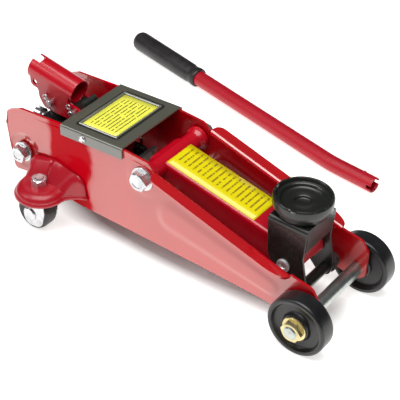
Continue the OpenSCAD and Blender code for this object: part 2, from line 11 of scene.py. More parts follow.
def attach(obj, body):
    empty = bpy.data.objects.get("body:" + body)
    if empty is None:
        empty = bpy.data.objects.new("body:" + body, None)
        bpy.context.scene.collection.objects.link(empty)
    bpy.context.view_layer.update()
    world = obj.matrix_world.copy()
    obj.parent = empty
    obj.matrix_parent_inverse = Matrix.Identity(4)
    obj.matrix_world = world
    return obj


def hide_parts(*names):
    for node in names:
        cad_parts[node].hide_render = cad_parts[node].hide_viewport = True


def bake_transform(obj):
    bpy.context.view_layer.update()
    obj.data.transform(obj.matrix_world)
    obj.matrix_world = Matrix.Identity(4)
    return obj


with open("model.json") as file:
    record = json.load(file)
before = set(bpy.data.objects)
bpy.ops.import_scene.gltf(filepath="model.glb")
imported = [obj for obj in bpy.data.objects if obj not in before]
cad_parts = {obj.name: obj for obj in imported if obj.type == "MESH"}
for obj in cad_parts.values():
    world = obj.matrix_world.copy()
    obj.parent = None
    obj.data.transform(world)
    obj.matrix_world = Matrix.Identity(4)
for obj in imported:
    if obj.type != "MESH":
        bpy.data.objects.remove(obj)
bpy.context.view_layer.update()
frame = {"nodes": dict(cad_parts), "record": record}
nodes = frame["nodes"]
MM = 0.001


# ---------------------------------------------------------------- camera and stage
def camera():
    """Three-quarter view from the jack's right front, looking down on it."""
    azimuth, elevation, roll = radians(34.76), radians(37.18), radians(2.53)
    target = Vector((-0.9, -1.5, 70)) * MM
    distance = 1424.1 * MM
    back = Vector((sin(azimuth) * cos(elevation), -cos(azimuth) * cos(elevation), sin(elevation)))
    side = Vector((0, 0, 1)).cross(back).normalized()
    up = back.cross(side)
    right = cos(roll) * side + sin(roll) * up
    top = -sin(roll) * side + cos(roll) * up
    data = bpy.data.cameras.new("camera")
    data.sensor_width = 36
    data.lens = 122.94
    data.clip_end = 50
    cam = bpy.data.objects.new("camera", data)
    spin = Matrix((right, top, back)).transposed().to_4x4()
    cam.matrix_world = Matrix.Translation(target + back * distance) @ spin
    bpy.context.collection.objects.link(cam)
    bpy.context.scene.camera = cam


def area_light(name, at, size, power, aim=(0, 0, 0.05)):
    """A square soft box at a place, aimed at the jack."""
    data = bpy.data.lights.new(name, "AREA")
    data.shape = "RECTANGLE"
    data.size, data.size_y = size
    data.energy = power
    lamp = bpy.data.objects.new(name, data)
    lamp.location = at
    lamp.rotation_euler = (Vector(aim) - Vector(at)).to_track_quat("-Z", "Y").to_euler()
    bpy.context.collection.objects.link(lamp)


def stage():
    """White glowing floor, dimmer right under the jack, a dark world and soft boxes above."""
    mesh = bpy.data.meshes.new("floor")
    half = 6
    mesh.from_pydata([(-half, -half, 0), (half, -half, 0), (half, half, 0), (-half, half, 0)],
                     [], [(0, 1, 2, 3)])
    floor = bpy.data.objects.new("floor", mesh)
    bpy.context.collection.objects.link(floor)
    mat, tree, shader = new_material("floor_white")
    shader.inputs["Base Color"].default_value = (0.85, 0.85, 0.84, 1)
    shader.inputs["Roughness"].default_value = 0.9
    shader.inputs["Emission Color"].default_value = (1, 0.985, 0.96, 1)
    mapping = tree.nodes.new("ShaderNodeMapping")
    mapping.inputs["Location"].default_value = (0.1, 0, 0)
    mapping.inputs["Scale"].default_value = (5.2, 24, 1)
    tree.links.new(object_coords(tree), mapping.inputs["Vector"])
    length = tree.nodes.new("ShaderNodeVectorMath")
    length.operation = "LENGTH"
    tree.links.new(mapping.outputs["Vector"], length.inputs[0])
    glow = spread(tree, length.outputs["Value"], 0.05, 0.72, (0.75, 1.25))
    tree.links.new(glow, shader.inputs["Emission Strength"])
    floor.data.materials.append(mat)
    world = bpy.data.worlds.new("world")
    world.use_nodes = True
    background = world.node_tree.nodes["Background"]
    background.inputs["Color"].default_value = (0.9, 0.93, 1.0, 1)
    background.inputs["Strength"].default_value = 0.07
    bpy.context.scene.world = world
    area_light("overhead", (0.1, -0.35, 1.9), (1.7, 1.5), 42)
    area_light("rear_right", (-1.5, -1.3, 1.7), (0.9, 0.9), 10)
    bpy.context.scene.view_settings.view_transform = "Standard"


# ---------------------------------------------------------------- materials
def new_material(name):
    mat = bpy.data.materials.new(name)
    mat.use_nodes = True
    tree = mat.node_tree
    return mat, tree, tree.nodes["Principled BSDF"]


def object_coords(tree):
    return tree.nodes.new("ShaderNodeTexCoord").outputs["Object"]


def noise(tree, scale, detail=4.0, roughness=0.5, stretch=None):
    node = tree.nodes.new("ShaderNodeTexNoise")
    node.inputs["Scale"].default_value = scale
    node.inputs["Detail"].default_value = detail
    node.inputs["Roughness"].default_value = roughness
    coords = object_coords(tree)
    if stretch:
        mapping = tree.nodes.new("ShaderNodeMapping")
        mapping.inputs["Scale"].default_value = stretch
        tree.links.new(coords, mapping.inputs["Vector"])
        coords = mapping.outputs["Vector"]
    tree.links.new(coords, node.inputs["Vector"])
    return node.outputs["Fac"]


def spread(tree, value, low, high, source=(0, 1)):
    """Maps a value from a source range onto low to high."""
    node = tree.nodes.new("ShaderNodeMapRange")
    node.inputs["From Min"].default_value, node.inputs["From Max"].default_value = source
    node.inputs["To Min"].default_value = low
    node.inputs["To Max"].default_value = high
    tree.links.new(value, node.inputs["Value"])
    return node.outputs["Result"]


def maths(tree, operation, *values):
    """One maths node; each value may be a number or a socket."""
    node = tree.nodes.new("ShaderNodeMath")
    node.operation = operation
    for socket, value in zip(node.inputs, values):
        if isinstance(value, bpy.types.NodeSocket):
            tree.links.new(value, socket)
        else:
            socket.default_value = value
    return node.outputs[0]


def ramp(tree, fac, stops, curve="LINEAR"):
    """A colour ramp: stops are (position, colour)."""
    node = tree.nodes.new("ShaderNodeValToRGB")
    node.color_ramp.interpolation = curve
    elements = node.color_ramp.elements
    while len(elements) < len(stops):
        elements.new(0.5)
    for element, (position, colour) in zip(elements, stops):
        element.position = position
        element.color = (*colour, 1)
    tree.links.new(fac, node.inputs["Fac"])
    return node.outputs["Color"]


def mix(tree, fac, a, b):
    """Mix two colours; each may be a colour or a socket."""
    node = tree.nodes.new("ShaderNodeMix")
    node.data_type = "RGBA"
    for socket, value in ((node.inputs["Factor"], fac), (node.inputs[6], a), (node.inputs[7], b)):
        if isinstance(value, bpy.types.NodeSocket):
            tree.links.new(value, socket)
        elif isinstance(value, tuple):
            socket.default_value = (*value, 1)
        else:
            socket.default_value = value
    return node.outputs[2]


def bump(tree, shader, height, strength, distance):
    node = tree.nodes.new("ShaderNodeBump")
    node.inputs["Strength"].default_value = strength
    node.inputs["Distance"].default_value = distance
    tree.links.new(height, node.inputs["Height"])
    tree.links.new(node.outputs["Normal"], shader.inputs["Normal"])


def edge_wear(tree, amount=0.6):
    """Bright on sharp convex edges, broken up by noise."""
    geometry = tree.nodes.new("ShaderNodeNewGeometry")
    edge = maths(tree, "MULTIPLY_ADD", noise(tree, 400, 3), 0.25, geometry.outputs["Pointiness"])
    return spread(tree, edge, 0, amount, (0.68, 0.76))


def painted_reflection_band(mat):
    """Painted reflection: fades the side plates' clear coat and specular in a band behind the castor
    brackets, standing in for the brackets' dark reflection.
    """
    band_from, band_to, sway = -0.153, -0.07, 0.03
    tree = mat.node_tree
    shader = tree.nodes["Principled BSDF"]
    split = tree.nodes.new("ShaderNodeSeparateXYZ")
    tree.links.new(object_coords(tree), split.inputs[0])
    along = maths(tree, "MULTIPLY_ADD", noise(tree, 30, 2), sway, split.outputs["X"])
    fac = spread(tree, along, 0, 1, (band_from, band_to))
    stops = [(0.0, 1.0), (0.1, 0.05), (0.62, 0.05), (0.74, 1.0)]
    coat = ramp(tree, fac, [(at, (value,) * 3) for at, value in stops], "EASE")
    tree.links.new(coat, shader.inputs["Coat Weight"])
    tree.links.new(maths(tree, "MULTIPLY", coat, 0.5), shader.inputs["Specular IOR Level"])


def paint(name, colour, dark, roughness, coat, coat_ior, peel=0.06, wear=None, tint=(1, 1, 1)):
    """Sprayed enamel: slight colour drift, orange peel and a clear coat."""
    mat, tree, shader = new_material(name)
    drift = noise(tree, 14, 3)
    body = ramp(tree, drift, [(0.3, dark), (0.7, colour)])
    if wear:
        body = mix(tree, edge_wear(tree, wear[0]), body, wear[1])
    tree.links.new(body, shader.inputs["Base Color"])
    rough = spread(tree, noise(tree, 30, 4), roughness * 0.8, roughness * 1.25)
    tree.links.new(rough, shader.inputs["Roughness"])
    shader.inputs["Coat Weight"].default_value = coat
    shader.inputs["Coat IOR"].default_value = coat_ior
    shader.inputs["Coat Roughness"].default_value = 0.05
    shader.inputs["Coat Tint"].default_value = (*tint, 1)
    bump(tree, shader, noise(tree, 260, 2), peel, 0.0006)
    return mat


def plated(name, colour, dark, roughness, streak=(1, 1, 1)):
    """Plated or turned metal with fine tooling streaks and a faint cloudiness."""
    mat, tree, shader = new_material(name)
    shader.inputs["Metallic"].default_value = 0.9
    tone = ramp(tree, noise(tree, 90, 5), [(0.35, dark), (0.65, colour)])
    tree.links.new(tone, shader.inputs["Base Color"])
    fine = noise(tree, 700, 3, stretch=streak)
    rough = spread(tree, fine, roughness * 0.7, roughness * 1.4)
    tree.links.new(rough, shader.inputs["Roughness"])
    bump(tree, shader, fine, 0.12, 0.0002)
    return mat


def moulded(name, colour, light, roughness, grain_scale, grain):
    """Rubber or moulded plastic with a fine grain."""
    mat, tree, shader = new_material(name)
    tone = ramp(tree, noise(tree, 60, 4), [(0.35, colour), (0.7, light)])
    tree.links.new(tone, shader.inputs["Base Color"])
    rough = spread(tree, noise(tree, 25, 3), roughness * 0.85, roughness * 1.2)
    tree.links.new(rough, shader.inputs["Roughness"])
    bump(tree, shader, noise(tree, grain_scale, 3), grain, 0.0003)
    return mat


PLATE_RED_AND_PAINTED_REFLECTION = paint("plate_enamel_and_painted_reflection", (0.56, 0.0, 0.008), (0.48, 0.0, 0.006), 0.3, 1.0, 1.9, 0.04,
                  tint=(1, 0.92, 0.8))
# painted reflection: a fixed band of faded coat on the side plates behind the castor brackets
painted_reflection_band(PLATE_RED_AND_PAINTED_REFLECTION)
RED = paint("red_enamel", (0.54, 0.0, 0.013), (0.46, 0.0, 0.009), 0.3, 0.45, 1.45)
TUBE_RED = paint("tube_enamel", (0.46, 0.0, 0.014), (0.4, 0.0, 0.01), 0.45, 0.06, 1.3)
# painted shade: a darker, less glossy copy of the red enamel, used for the castor brackets
BRACKET_RED_PAINTED_SHADE = paint("bracket_enamel_painted_shade", (0.42, 0.0, 0.012), (0.36, 0.0, 0.009), 0.36, 0.3, 1.4)
BLACK = paint("black_enamel", (0.012, 0.013, 0.01), (0.007, 0.008, 0.006), 0.34, 0.35, 1.45,
              wear=(0.35, (0.12, 0.12, 0.12)))
OLIVE = paint("olive_enamel", (0.1, 0.1, 0.075), (0.078, 0.078, 0.058), 0.3, 1.0, 1.8,
              wear=(0.4, (0.3, 0.3, 0.26)))
# painted shade: near-black paint for the gutter faces round the cover's label
GROOVE_PAINTED_SHADE = paint("cover_groove_painted_shade", (0.018, 0.019, 0.014), (0.012, 0.012, 0.009), 0.4, 0.3, 1.4)
# painted highlight: light, glossy paint for the crest of the ridge round the cover's label
RIDGE_PAINTED_HIGHLIGHT = paint("cover_ridge_painted_highlight", (0.3, 0.3, 0.24), (0.12, 0.12, 0.09), 0.25, 1.0, 1.9)
BLACK_CAST_AND_SLOT_SHADE = moulded("black_casting_and_slot_shade", (0.01, 0.012, 0.01), (0.025, 0.028, 0.025), 0.45, 220, 0.5)
ZINC = plated("bright_zinc", (0.7, 0.71, 0.72), (0.52, 0.53, 0.55), 0.22)
PIN_ZINC = plated("pin_zinc", (0.95, 0.95, 0.95), (0.75, 0.75, 0.76), 0.5)
YELLOW_ZINC = plated("yellow_zinc", (0.78, 0.66, 0.34), (0.55, 0.47, 0.25), 0.28)
STEEL = plated("oiled_steel", (0.52, 0.55, 0.52), (0.36, 0.39, 0.37), 0.3)
SPRING = plated("spring_steel", (0.09, 0.1, 0.09), (0.04, 0.05, 0.045), 0.3)
WHEEL = moulded("black_wheel", (0.008, 0.008, 0.009), (0.02, 0.02, 0.021), 0.3, 300, 0.25)
TREAD = moulded("castor_tread", (0.016, 0.017, 0.016), (0.035, 0.036, 0.034), 0.38, 350, 0.3)
GRIP = moulded("grip_rubber", (0.012, 0.01, 0.011), (0.028, 0.024, 0.026), 0.42, 500, 0.5)


# ---------------------------------------------------------------- mesh tools
def add_object(name, mesh, material):
    obj = bpy.data.objects.new(name, mesh)
    bpy.context.collection.objects.link(obj)
    mesh.materials.append(material)
    return obj


def from_bmesh(name, bm, material, smooth=35, recalc=True):
    """Turns a bmesh into an object, with normals outwards and sharp edges kept."""
    bmesh.ops.remove_doubles(bm, verts=bm.verts, dist=1e-6)
    if recalc:
        bmesh.ops.recalc_face_normals(bm, faces=bm.faces)
    mesh = bpy.data.meshes.new(name)
    bm.to_mesh(mesh)
    bm.free()
    mesh.shade_smooth()
    mesh.set_sharp_from_angle(angle=radians(smooth))
    return add_object(name, mesh, material)


def bevel(obj, width, segments=2, angle=35):
    mod = obj.modifiers.new("bevel", "BEVEL")
    mod.width = width * MM
    mod.segments = segments
    mod.limit_method = "ANGLE"
    mod.angle_limit = radians(angle)
    mod.harden_normals = True
    return obj


def grid_faces(bm, rows, closed=False):
    """Quads between rows of points. closed joins the last column to the first."""
    verts = [[bm.verts.new(Vector(p) * MM) for p in row] for row in rows]
    for low, high in zip(verts, verts[1:]):
        n = len(low)
        for k in range(n if closed else n - 1):
            j = (k + 1) % n
            bm.faces.new((low[k], low[j], high[j], high[k]))
    return verts


def thick_sheet(name, rows, thickness, material, flip=False, edge=0.4, extra=()):
    """Sheet metal: grids of points in mm on its outer face, thickened inwards with soft edges."""
    bm = bmesh.new()
    for part in [rows, *extra]:
        grid_faces(bm, part)
    if flip:
        bmesh.ops.reverse_faces(bm, faces=bm.faces)
    obj = from_bmesh(name, bm, material, recalc=False)
    solid = obj.modifiers.new("thickness", "SOLIDIFY")
    solid.thickness = thickness * MM
    solid.offset = -1
    solid.use_even_offset = True
    if edge:
        bevel(obj, edge, 2, 50)
    return obj


def turned(name, profile, at, axis, material, sides=96, edge=0.0, smooth=35):
    """A lathe part: profile of (radius, distance along axis) in mm, from a point along an axis."""
    bm = bmesh.new()
    rows = [[(r * cos(2 * pi * k / sides), r * sin(2 * pi * k / sides), h) for k in range(sides)]
            for r, h in profile]
    verts = grid_faces(bm, rows, closed=True)
    for ring in (verts[0], verts[-1]):
        if profile[0] != profile[-1]:
            bm.faces.new(ring)
    obj = from_bmesh(name, bm, material, smooth)
    spin = Vector((0, 0, 1)).rotation_difference(Vector(axis)).to_matrix().to_4x4()
    obj.data.transform(Matrix.Translation(Vector(at) * MM) @ spin)
    if edge:
        bevel(obj, edge, 2, 30)
    return obj


def arc(cx, cy, r, a0, a1, n):
    """Points on an arc, angles in degrees."""
    return [(cx + r * cos(radians(a0 + (a1 - a0) * i / n)),
             cy + r * sin(radians(a0 + (a1 - a0) * i / n))) for i in range(n + 1)]


def rounded(corners, n=8):
    """An outline whose corners (x, z, radius) are rounded."""
    out = []
    for i, (x, z, r) in enumerate(corners):
        p = Vector((x, z))
        if not r:
            out.append((x, z))
            continue
        a = (Vector(corners[i - 1][:2]) - p).normalized()
        b = (Vector(corners[(i + 1) % len(corners)][:2]) - p).normalized()
        half = acos(max(-1, min(1, a.dot(b)))) / 2
        centre = p + (a + b).normalized() * r / sin(half)
        start = p + a * r / tan(half) - centre
        end = p + b * r / tan(half) - centre
        a0 = atan2(start.y, start.x)
        sweep = (atan2(end.y, end.x) - a0 + pi) % (2 * pi) - pi
        out += [(centre.x + r * cos(a0 + sweep * k / n), centre.y + r * sin(a0 + sweep * k / n))
                for k in range(n + 1)]
    return out


def plate(name, outline, y0, y1, material, edge=0.6, segments=3):
    """A flat plate: an outline in X and Z (mm), solid from y0 to y1."""
    bm = bmesh.new()
    near = [bm.verts.new(Vector((x, y0, z)) * MM) for x, z in outline]
    far = [bm.verts.new(Vector((x, y1, z)) * MM) for x, z in outline]
    bm.faces.new(near)
    bm.faces.new(far)
    for k in range(len(near)):
        j = (k + 1) % len(near)
        bm.faces.new((near[k], near[j], far[j], far[k]))
    obj = from_bmesh(name, bm, material)
    return bevel(obj, edge, segments, 50) if edge else obj


def pierced(name, outline, hole, y0, y1, material, edge):
    """A plate in the XZ plane with one round hole: (x, z, radius)."""
    x, z, r = hole
    circle = [(x + r * cos(2 * pi * k / 32), z + r * sin(2 * pi * k / 32)) for k in range(32)]
    bm = bmesh.new()
    edges = []
    for loop in (outline, circle):
        verts = [bm.verts.new(Vector((a, y0, b)) * MM) for a, b in loop]
        edges += [bm.edges.new(pair) for pair in zip(verts, verts[1:] + verts[:1])]
    bmesh.ops.triangle_fill(bm, edges=edges, use_beauty=True)
    grown = bmesh.ops.extrude_face_region(bm, geom=bm.faces[:])["geom"]
    moved = [g for g in grown if isinstance(g, bmesh.types.BMVert)]
    bmesh.ops.translate(bm, verts=moved, vec=Vector((0, y1 - y0, 0)) * MM)
    return bevel(from_bmesh(name, bm, material), edge, 2)


def joined(name, objs):
    """Joins pieces into one object, with each piece's modifiers applied first."""
    depsgraph = bpy.context.evaluated_depsgraph_get()
    bm = bmesh.new()
    materials = []
    for obj in objs:
        mesh = bpy.data.meshes.new_from_object(obj.evaluated_get(depsgraph))
        mesh.transform(obj.matrix_world)
        base = len(materials)
        materials += list(obj.data.materials)
        for face in mesh.polygons:
            face.material_index += base
        bm.from_mesh(mesh)
        bpy.data.meshes.remove(mesh)
    for obj in objs:
        bpy.data.objects.remove(obj)
    mesh = bpy.data.meshes.new(name)
    bm.to_mesh(mesh)
    bm.free()
    result = bpy.data.objects.new(name, mesh)
    bpy.context.collection.objects.link(result)
    for material in materials:
        mesh.materials.append(material)
    return result


def mirrored(name, obj):
    """The same piece on the jack's other side."""
    depsgraph = bpy.context.evaluated_depsgraph_get()
    mesh = bpy.data.meshes.new_from_object(obj.evaluated_get(depsgraph))
    mesh.transform(obj.matrix_world)
    mesh.transform(Matrix.Scale(-1, 4, (0, 1, 0)))
    mesh.flip_normals()
    copy = bpy.data.objects.new(name, mesh)
    bpy.context.collection.objects.link(copy)
    return copy


def finish_piece(obj, body, slot, *replaced):
    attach(obj, body)
    if replaced:
        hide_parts(*replaced)



# ---------------------------------------------------------------- chassis
PLATE_Y = 49
PLATE_T = 3
PLATE_OUTLINE = [(-217, 40.5, 5), (-223, 68, 0), (-227, 92, 8), (-226.5, 113, 9),
                 (-206, 122.2, 10), (-150, 126, 0), (-66, 130.4, 0), (-34, 128.5, 6),
                 (-27, 122, 5), (145, 73.8, 4), (168, 70, 9), (176, 58, 7), (176, 27, 7),
                 (166, 19.6, 6), (118, 28, 20), (36, 30.6, 0), (-128, 32.7, 40), (-190, 44.5, 20)]
FLANGE = (-25.5, 142)
FLANGE_W = 13
PIVOT = (-39, 108)
TRUNNION = (-203, 69)
YOKE_PIN = (121, 62)
ROD_STUD = (-20, 83)
AXLE = (165, 33)
KING_PIN_X = -162.5
CASTOR_WHEEL = (-166.5, 20.5)
CASTOR_Y = 71


def smoothstep(a, b, x):
    t = max(0.0, min(1.0, (x - a) / (b - a)))
    return t * t * (3 - 2 * t)


def span_at(outline, x):
    """Lowest and highest z of a closed outline at x."""
    hits = []
    for (xa, za), (xb, zb) in zip(outline, outline[1:] + outline[:1]):
        if min(xa, xb) <= x <= max(xa, xb):
            hits += [za, zb] if xa == xb else [za + (zb - za) * (x - xa) / (xb - xa)]
    return min(hits), max(hits)


def stamping(x, z):
    """How far the pressing stands out of the plate's outer face, in mm."""
    along = max(0.0, min(1.0, (x + 2) / 122))
    axis_x, axis_z = -2 + 122 * along, 74 - 25 * along
    bulge = 1.8 * (1 - smoothstep(0.55, 1.25, hypot(x - axis_x, z - axis_z) / (17 - 7 * along)))
    seat = hypot(x - TRUNNION[0], z - TRUNNION[1])
    dish = -1.5 * (1 - smoothstep(18, 22, seat))
    boss = 0.8 * (1 - smoothstep(17, 24, hypot(x - PIVOT[0], z - PIVOT[1])))
    sway = 0.9 * sin((x + 190) * pi / 90) * smoothstep(32, 70, z) * (1 - smoothstep(-110, -70, x))
    return bulge + dish + boss + sway


def side_plate(name):
    outline = rounded(PLATE_OUTLINE)
    xs = {round(x, 3) for x, _ in outline}
    xs |= {-226.9 + 2.5 * k for k in range(161)} | set(FLANGE)
    lo, hi = min(x for x, _ in outline), max(x for x, _ in outline)
    xs = sorted(x for x in xs if lo + 0.02 < x < hi - 0.02)
    xs = [x for x, after in zip(xs, xs[1:] + [1e9]) if after - x > 0.15 or x in FLANGE]
    rows_n = 36
    body, plain, bent = [], [[], []], []
    inner_r, reach = 1.6, 5.5
    for x in xs:
        zb, zt = span_at(outline, x)
        mid = max(zt - reach, zb + 0.5 * (zt - zb))
        line = [zb + (mid - zb) * k / rows_n for k in range(rows_n + 1)]
        body.append([(x, -PLATE_Y - stamping(x, z) * edge_fade(z, zb, zt), z) for z in line])
        top = [(x, -PLATE_Y, mid + (zt - mid) * k / 3) for k in range(4)]
        if x <= FLANGE[0]:
            plain[0].append(top)
        if x >= FLANGE[1]:
            plain[1].append(top)
        if FLANGE[0] <= x <= FLANGE[1]:
            under = zt - PLATE_T
            bend = [(x, -PLATE_Y - inner_r + inner_r * cos(radians(a)),
                     under - inner_r + inner_r * sin(radians(a))) for a in (0, 22.5, 45, 67.5, 90)]
            start, end = 9 - min(9, x - FLANGE[0]), 1 - min(1, (FLANGE[1] - x) / 26)
            width = FLANGE_W - (9 - sqrt(81 - start * start)) - 11 * (1 - sqrt(1 - end * end))
            out = [(x, -PLATE_Y - inner_r - (width - inner_r) * k / 6, under) for k in range(1, 7)]
            bent.append([top[0], *bend, *out])
    return thick_sheet(name, body, PLATE_T, PLATE_RED_AND_PAINTED_REFLECTION, flip=True, extra=(*plain, bent))


def edge_fade(z, zb, zt):
    """0 at the plate's edges and 1 from 7 mm inside them, so the pressing leaves the rim flat."""
    return smoothstep(0, 7, min(z - zb, zt - z))


def castor_bracket(name):
    """Domed tongue: a skirt with a small lip, a soft shoulder and a top that climbs to the plate."""
    cx, cy, r = -160.5, -71, 25
    wall = -49.15
    path = [(-190, wall), (-188.8, -54), (-187.2, -60), (-186, -65.5)]
    inwards = [Vector((1, -0.15))] * 4
    for a in range(180, 361, 6):
        path.append((cx + r * cos(radians(a)), cy + r * sin(radians(a))))
        inwards.append(Vector((-cos(radians(a)), -sin(radians(a)))))
    path += [(-134.6, -65.5), (-131.6, -60.5), (-126.8, -55.8), (-121.4, -52), (-115, wall)]
    inwards += [Vector(v).normalized() for v in
                ((-1, 0.2), (-1, 0.24), (-1, 0.26), (-1, 0.16), (-1, 0))]

    def crown(x):
        return 24 - (0.0034 if x < -152 else 0.0071) * (x + 152) ** 2

    rows = []
    for (x, y), n in zip(path, inwards):
        p = Vector((x, y))
        near = smoothstep(-68, wall, y)
        crest = 54 + crown(x) * near
        lean = (3 if x < cx else 2) * near
        shoulder = 7.5
        row = [(p - n * 1.5, 45), (p - n * 1.5, 46.4), (p - n * 1.0, 47.2), (p, 47.8)]
        skirt_top = max(48.2, crest - shoulder - 1.5)
        row += [(p + n * (0.1 + lean * k / 4), 47.8 + (skirt_top - 47.8) * k / 3)
                for k in range(1, 4)]
        for a in (15, 30, 45, 60, 75, 90):
            inset = 0.1 + lean * 0.75 + shoulder * (1 - cos(radians(a)))
            row.append((p + n * inset, skirt_top + (crest - skirt_top) * sin(radians(a))))
        edge, top = row[-1]
        spine = Vector((cx + 2, max(-72.5, min(wall, y + 0.001))))
        hub = 54 + crown(spine.x) * smoothstep(-68, wall, spine.y)
        row += [(edge.lerp(spine, k / 6), top + (hub - top) * k / 6) for k in range(1, 7)]
        rows.append([(q.x, min(q.y, wall), z) for q, z in row])
    # painted shade: the brackets take the darker copy of the red enamel
    return thick_sheet(name, rows, 2.4, BRACKET_RED_PAINTED_SHADE, flip=False, edge=0)


def hex_head(name, at, axis, across, height, material, mark=True):
    """A hexagon head or nut: flat sides, chamfered corners and a shallow dish in the face."""
    flat = across / 2
    turns = [2 * pi * k / 48 for k in range(48)]

    def ring(radius, h):
        return [(radius * cos(a), radius * sin(a), h) for a in turns]

    reach = [flat / cos((a + 1e-9) % (pi / 3) - pi / 6) for a in turns]
    rows = [[(q * cos(a), q * sin(a), 0) for q, a in zip(reach, turns)],
            [(q * cos(a), q * sin(a), height - 0.2 - 0.62 * (q - 0.95 * flat))
             for q, a in zip(reach, turns)],
            ring(0.94 * flat, height)]
    if mark:
        rows += [ring(flat * 0.66, height), ring(flat * 0.6, height - 0.5)]
    bm = bmesh.new()
    verts = grid_faces(bm, rows, closed=True)
    bm.faces.new(verts[0])
    bm.faces.new(verts[-1])
    obj = from_bmesh(name, bm, material, 24)
    spin = Vector((0, 0, 1)).rotation_difference(Vector(axis)).to_matrix().to_4x4()
    obj.data.transform(Matrix.Translation(Vector(at) * MM) @ spin)
    return obj


def washer(name, at, axis, r_in, r_out, thick, material, edge=0.3):
    e = edge
    return turned(name, [(r_in, 0), (r_out - e, 0), (r_out, e), (r_out, thick - e),
                         (r_out - e, thick), (r_in + e, thick), (r_in, thick - e), (r_in, 0)],
                  at, axis, material, 64)


def bolts():
    """Rear bolts and the lift pivot bolt, with their washers."""
    right, left = Vector((0, -1, 0)), Vector((0, 1, 0))
    tx, tz = TRUNNION
    parts = []
    for side, s in ((right, -1), (left, 1)):
        parts.append(hex_head("head", (tx, s * 52, tz), side, 17.2, 8.4, ZINC))
        parts.append(turned("shank", [(0, 0), (6, 0), (6, 26), (0, 26)], (tx, s * 26, tz),
                            side, ZINC, 32))
    finish_piece(joined("rear_bolts_detail", parts), "chassis", "zinc", "rear_bolts")
    px, pz = PIVOT
    parts = [hex_head("head", (px, -52, pz), right, 19.4, 8.4, ZINC),
             hex_head("nut", (px, 52, pz), left, 19.4, 9, ZINC, mark=False),
             turned("shank", [(0, 0), (7, 0), (7, 114), (6, 115), (0, 115)], (px, -52, pz), left,
                    ZINC, 48)]
    finish_piece(joined("lift_pivot_bolt_detail", parts), "chassis", "zinc", "lift_pivot_bolt")
    parts = []
    for side, s in ((right, -1), (left, 1)):
        parts.append(washer("w", (tx, s * 49.1, tz), side, 6.1, 11.7, 2.6, ZINC))
        parts.append(washer("w", (px, s * 49.9, pz), side, 7.1, 13.3, 2.1, ZINC))
    finish_piece(joined("bolt_washers_detail", parts), "chassis", "zinc", "bolt_washers")


# ---------------------------------------------------------------- cover
COVER_X = (-148, -66)
COVER_Z = (126.5, 131)
COVER_TILT = atan2(COVER_Z[1] - COVER_Z[0], COVER_X[1] - COVER_X[0])
COVER_LEN = hypot(COVER_X[1] - COVER_X[0], COVER_Z[1] - COVER_Z[0])
LABEL_FROM, LABEL_SIZE = 17, (46, 72)


def on_cover(points):
    """From the cover's own frame (along, across, above the underside) to the jack's."""
    c, s = cos(COVER_TILT), sin(COVER_TILT)
    return [(COVER_X[0] + u * c - w * s, y, COVER_Z[0] + u * s + w * c) for u, y, w in points]


